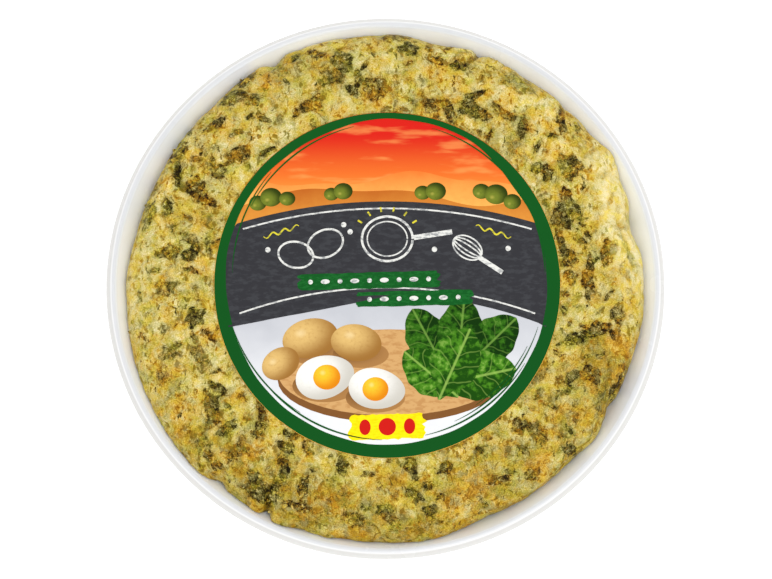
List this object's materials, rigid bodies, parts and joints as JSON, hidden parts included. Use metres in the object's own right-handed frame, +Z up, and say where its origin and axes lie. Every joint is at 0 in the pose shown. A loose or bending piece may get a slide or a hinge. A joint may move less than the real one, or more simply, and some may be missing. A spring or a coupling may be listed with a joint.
{
  "type": "potato and spinach omelette on a plate",
  "caption": "Thick round potato and spinach omelette on a shallow white plastic plate, with a nearly round printed card label on top.",
  "frame": {"origin": "centre of the plate's underside, on the plane of its foot ring", "axes": "+Z up, +X to the right as seen from the front, -Y towards the viewer; the label's print reads upright from -Y"},
  "size_m": [0.19, 0.19, 0.0246],
  "materials": {
    "plate_plastic": "smooth white moulded plastic with a soft gloss",
    "omelette_food": "moist set egg, pale yellow, with toasted patches, potato lumps and dark green spinach",
    "label_card": null
  },
  "bodies": {
    "root": {"plate": "plate_plastic", "omelette": "omelette_food", "label": "label_card"}
  },
  "joints": []
}
